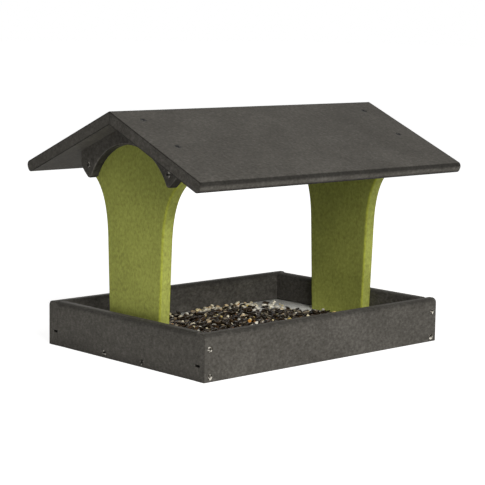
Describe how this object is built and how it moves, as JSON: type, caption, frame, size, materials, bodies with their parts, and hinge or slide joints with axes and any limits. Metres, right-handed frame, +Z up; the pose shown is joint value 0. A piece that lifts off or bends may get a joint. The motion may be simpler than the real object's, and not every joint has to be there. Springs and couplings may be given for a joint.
{
  "type": "bird feeder",
  "caption": "Open tray bird feeder with a gabled roof on flared uprights, arched gable trim and loose seed on a screen floor.",
  "frame": {"origin": "centre of the tray at the surface that the feeder stands on", "axes": "+X along the ridge to the right end, +Y to the back, +Z up"},
  "size_m": [0.508, 0.37, 0.344],
  "materials": {
    "charcoal_poly": "matt, finely mottled recycled plastic lumber",
    "lime_poly": "matt, finely mottled recycled plastic lumber",
    "screen": "fine mesh, dull",
    "bright_screw": "bright stainless",
    "dark_screw": "weathered",
    "seed": "dry seed husks"
  },
  "bodies": {
    "root": {"back_left_tray_screws": "bright_screw", "back_right_tray_screws": "bright_screw", "back_roof_panel": "charcoal_poly", "back_roof_screws": "dark_screw", "back_tray_board": "charcoal_poly", "floor_screen": "screen", "front_left_tray_screws": "bright_screw", "front_right_tray_screws": "bright_screw", "front_roof_panel": "charcoal_poly", "front_roof_screws": "dark_screw", "front_tray_board": "charcoal_poly", "left_arch_screws": "bright_screw", "left_end_board": "charcoal_poly", "left_foot_screws": "bright_screw", "left_gable_arch": "charcoal_poly", "left_upright": "lime_poly", "right_arch_screws": "bright_screw", "right_end_board": "charcoal_poly", "right_foot_screws": "bright_screw", "right_gable_arch": "charcoal_poly", "right_upright": "lime_poly", "seed_bed": "seed"}
  },
  "joints": []
}
